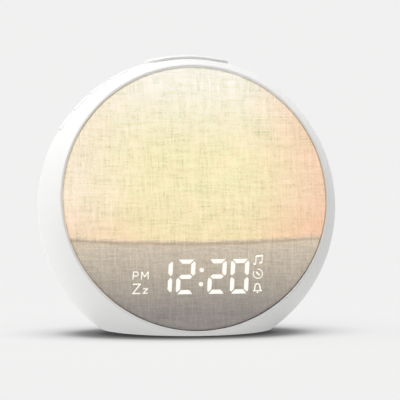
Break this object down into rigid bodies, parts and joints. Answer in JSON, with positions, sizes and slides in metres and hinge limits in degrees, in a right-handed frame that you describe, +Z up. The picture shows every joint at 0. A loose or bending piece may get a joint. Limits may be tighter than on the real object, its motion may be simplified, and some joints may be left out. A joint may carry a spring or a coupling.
{
  "type": "sunrise alarm clock",
  "caption": "Ball-shaped bedside alarm clock with a flat base, a tilted round linen face with a light and a digital display, a snooze bar and keys.",
  "frame": {"origin": "on the surface that the clock stands on, under the middle of its box", "axes": "+X to the right as the face is read, +Y to the back, +Z up"},
  "size_m": [0.174, 0.0908, 0.1604],
  "materials": {
    "shell": "satin, moulded",
    "key": "satin, moulded",
    "grille": "satin",
    "linen": "plain weave, undyed",
    "hoop": "natural",
    "diffuser": "frosted, lit",
    "tray": "natural",
    "dark_tray": "natural",
    "led_board": "solder resist",
    "lamp": "lit",
    "board": "solder resist",
    "display": "black",
    "segment": "lit",
    "chip": "moulded",
    "capacitor": "sleeved",
    "connector": "moulded",
    "steel": "zinc plated",
    "switch": "moulded",
    "stem": "moulded",
    "basket": "black",
    "magnet": "plated",
    "cone": "pulp",
    "surround": "soft",
    "coil": "enamelled wire",
    "gasket": "foam",
    "jack": "moulded",
    "contact": "plated",
    "cell": "nickel plated",
    "foot": "matt",
    "lead_red": "insulation",
    "lead_grey": "insulation"
  },
  "bodies": {
    "clock": {"front_housing": "shell", "rear_cover": "shell", "speaker_grille": "grille", "fabric_face": "linen", "face_hoop": "hoop", "diffuser_panel": "diffuser", "light_box": "tray", "led_board": "led_board", "leds": "lamp", "display_tray": "dark_tray", "display_board": "board", "display_body": "display", "display_segments": "segment", "display_pins": "steel", "main_board": "board", "main_chips": "chip", "capacitors": "capacitor", "board_connectors": "connector", "main_board_screws": "steel", "snooze_bracket": "hoop", "snooze_board": "board", "snooze_switch": "switch", "side_switch_board": "board", "side_switches": "switch", "speaker_frame": "basket", "speaker_magnet": "magnet", "speaker_cone": "cone", "speaker_surround": "surround", "voice_coil": "coil", "speaker_gasket": "gasket", "speaker_screws": "steel", "dc_jack": "jack", "dc_pin": "steel", "inlet_board": "board", "battery_holder": "jack", "battery_contacts": "contact", "coin_cell": "cell", "rubber_feet": "foot", "housing_screws": "steel", "face_screws": "steel", "bracket_screws": "steel", "inlet_screws": "steel", "speaker_lead": "lead_red", "power_lead": "lead_red", "display_lead": "lead_grey", "button_leads": "lead_grey", "battery_lead": "lead_red", "led_lead": "lead_grey"},
    "snooze": {"snooze_button": "key", "snooze_plunger": "stem"},
    "battery_cover": {"battery_cover": "shell"},
    "side_key_1": {"side_button_1": "key", "side_plunger_1": "stem"},
    "side_key_2": {"side_button_2": "key", "side_plunger_2": "stem"},
    "side_key_3": {"side_button_3": "key", "side_plunger_3": "stem"},
    "side_key_4": {"side_button_4": "key", "side_plunger_4": "stem"}
  },
  "joints": [
    {"name": "snooze_press", "type": "slide", "parent": "clock", "child": "snooze", "axis": [0, 0, -1], "range_m": [0, 0.0008], "stiffness_N_per_m": 800, "springref_m": -0.0006},
    {"name": "side_key_1_press", "type": "slide", "parent": "clock", "child": "side_key_1", "axis": [0.6561, 0, -0.7547], "range_m": [0, 0.0005], "stiffness_N_per_m": 600, "springref_m": -0.0005},
    {"name": "side_key_2_press", "type": "slide", "parent": "clock", "child": "side_key_2", "axis": [0.6561, 0, -0.7547], "range_m": [0, 0.0005], "stiffness_N_per_m": 600, "springref_m": -0.0005},
    {"name": "side_key_3_press", "type": "slide", "parent": "clock", "child": "side_key_3", "axis": [0.6561, 0, -0.7547], "range_m": [0, 0.0005], "stiffness_N_per_m": 600, "springref_m": -0.0005},
    {"name": "side_key_4_press", "type": "slide", "parent": "clock", "child": "side_key_4", "axis": [0.6561, 0, -0.7547], "range_m": [0, 0.0005], "stiffness_N_per_m": 600, "springref_m": -0.0005},
    {"name": "battery_cover_turn", "type": "hinge", "parent": "clock", "child": "battery_cover", "pos_m": [0, -0.0008, 0.0008], "axis": [0, 0, -1], "range_deg": [0, 40]}
  ]
}
